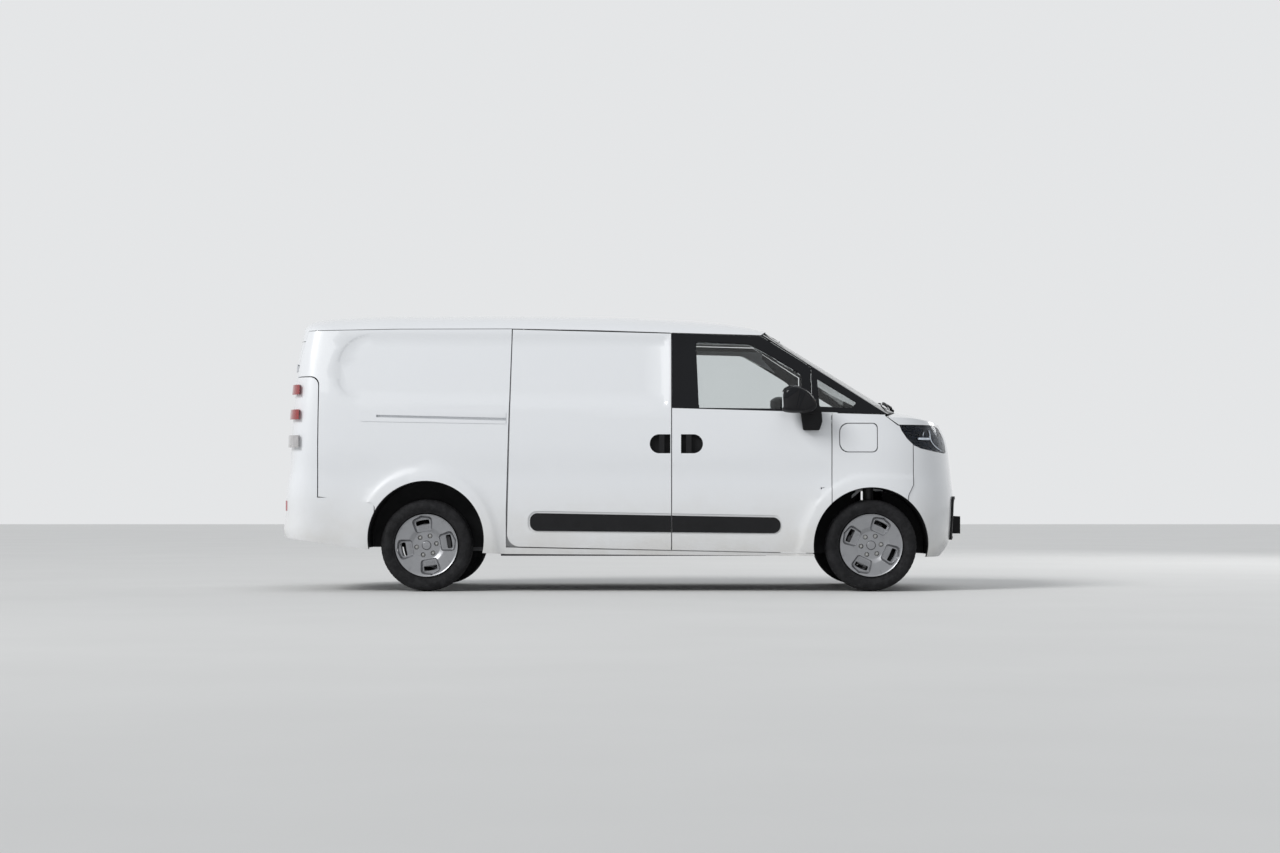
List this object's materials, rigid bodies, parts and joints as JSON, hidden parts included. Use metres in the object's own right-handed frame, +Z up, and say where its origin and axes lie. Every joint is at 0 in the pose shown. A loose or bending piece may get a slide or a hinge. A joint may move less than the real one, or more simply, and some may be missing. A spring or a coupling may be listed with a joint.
{
  "type": "electric panel van",
  "caption": "Mid-size panel van: hollow white body with sliding side doors, twin rear doors, glazed cab, short bonnet, steered front wheels and a flat load floor.",
  "frame": {"origin": "on the ground under the middle of the van's bounding box", "axes": "+X towards the nose, +Y towards the van's left side, +Z up"},
  "size_m": [4.8299, 2.302, 1.958],
  "materials": {
    "white_paint": "gloss white body paint",
    "black_gloss": "gloss black",
    "black_plastic": "fine grained black plastic",
    "clear_glass": "lightly tinted glass",
    "lamp_lens": "clear lamp lens",
    "tail_lens": "red and clear lens blocks",
    "underbody": "black coated steel",
    "inner_panel": "primer grey and white inner sheet",
    "battery": "coated casing",
    "cast_metal": "cast and forged chassis parts",
    "motor_case": "cast aluminium housing",
    "seat_fabric": "dark woven seat cloth",
    "cabin_plastic": "soft dark cabin moulding",
    "rim_metal": "silver painted alloy",
    "tyre_rubber": "black tyre rubber"
  },
  "bodies": {
    "root": {"roof": "white_paint", "body_side_right": "white_paint", "body_side_left": "white_paint", "sliding_doors": "white_paint", "fender_right": "white_paint", "fender_left": "white_paint", "front_bumper": "white_paint", "rear_bumper": "white_paint", "cab_frame": "black_gloss", "side_trim": "black_plastic", "lower_grille": "black_plastic", "arch_liners": "black_plastic", "windscreen": "clear_glass", "quarter_windows": "clear_glass", "headlamps": "lamp_lens", "tail_lamps": "tail_lens", "inner_frame": "inner_panel", "bulkhead": "inner_panel", "platform": "inner_panel", "battery_pack": "battery", "drive_unit": "motor_case", "front_suspension": "cast_metal", "rear_axle": "cast_metal", "seats": "seat_fabric", "seat_bases": "cabin_plastic", "dashboard": "cabin_plastic"},
    "door_front_right": {"door_right": "white_paint", "door_frame_right": "black_gloss", "door_glass_right": "clear_glass", "door_trim_right": "black_plastic"},
    "door_front_left": {"door_left": "white_paint", "door_frame_left": "black_gloss", "door_glass_left": "clear_glass", "door_trim_left": "black_plastic"},
    "door_rear_right": {"rear_door_right": "white_paint"},
    "door_rear_left": {"rear_door_left": "white_paint"},
    "bonnet_lid": {"bonnet": "white_paint"},
    "charge_lid": {"charge_flap": "white_paint"},
    "steer_right": {"knuckle_right": "cast_metal"},
    "steer_left": {"knuckle_left": "cast_metal"},
    "steering_wheel_body": {"steering_wheel": "cabin_plastic"},
    "wheel_front_left_body": {"wheel_front_left": "rim_metal", "tyre_front_left": "tyre_rubber"},
    "wheel_front_right_body": {"wheel_front_right": "rim_metal", "tyre_front_right": "tyre_rubber"},
    "wheel_rear_left_body": {"wheel_rear_left": "rim_metal", "tyre_rear_left": "tyre_rubber"},
    "wheel_rear_right_body": {"wheel_rear_right": "rim_metal", "tyre_rear_right": "tyre_rubber"}
  },
  "joints": [
    {"name": "door_front_right_swing", "type": "hinge", "parent": "root", "child": "door_front_right", "pos_m": [1.385, -0.92252, 0.9], "axis": [0, 0.0479, 0.9988], "range_deg": [0, 68]},
    {"name": "door_front_left_swing", "type": "hinge", "parent": "root", "child": "door_front_left", "pos_m": [1.385, 0.92252, 0.9], "axis": [0, 0.0479, -0.9988], "range_deg": [0, 68]},
    {"name": "door_rear_right_swing", "type": "hinge", "parent": "root", "child": "door_rear_right", "pos_m": [-2.31768, -0.693, 1.2], "axis": [0.0563, 0, 0.9984], "range_deg": [0, 100]},
    {"name": "door_rear_left_swing", "type": "hinge", "parent": "root", "child": "door_rear_left", "pos_m": [-2.31768, 0.693, 1.2], "axis": [-0.0563, 0, -0.9984], "range_deg": [0, 100]},
    {"name": "bonnet_lift", "type": "hinge", "parent": "root", "child": "bonnet_lid", "pos_m": [1.845, 0, 1.225], "axis": [0, -1, 0], "range_deg": [0, 50]},
    {"name": "charge_flap_swing", "type": "hinge", "parent": "root", "child": "charge_lid", "pos_m": [1.731, -0.91886, 1.07], "axis": [0, 0, 1], "range_deg": [0, 90]},
    {"name": "steer_left_turn", "type": "hinge", "parent": "root", "child": "steer_left", "pos_m": [1.725, 0.745, 0.32], "axis": [0, 0, 1], "range_deg": [-35, 35]},
    {"name": "steer_right_turn", "type": "hinge", "parent": "root", "child": "steer_right", "pos_m": [1.725, -0.745, 0.32], "axis": [0, 0, 1], "range_deg": [-35, 35]},
    {"name": "steering_wheel_turn", "type": "hinge", "parent": "root", "child": "steering_wheel_body", "pos_m": [1.165, 0.38, 1.08], "axis": [-0.8829, 0, 0.4695], "range_deg": [-530, 530]},
    {"name": "wheel_front_left_spin", "type": "hinge", "parent": "steer_left", "child": "wheel_front_left_body", "pos_m": [1.725, 0.8, 0.32], "axis": [0, 1, 0], "continuous": true},
    {"name": "wheel_front_right_spin", "type": "hinge", "parent": "steer_right", "child": "wheel_front_right_body", "pos_m": [1.725, -0.8, 0.32], "axis": [0, 1, 0], "continuous": true},
    {"name": "wheel_rear_left_spin", "type": "hinge", "parent": "root", "child": "wheel_rear_left_body", "pos_m": [-1.375, 0.8, 0.32], "axis": [0, 1, 0], "continuous": true},
    {"name": "wheel_rear_right_spin", "type": "hinge", "parent": "root", "child": "wheel_rear_right_body", "pos_m": [-1.375, -0.8, 0.32], "axis": [0, 1, 0], "continuous": true}
  ],
  "couplings": [
    {"joint": "steer_right_turn", "follows": "steer_left_turn", "ratio": 1},
    {"joint": "steering_wheel_turn", "follows": "steer_left_turn", "ratio": 15}
  ]
}
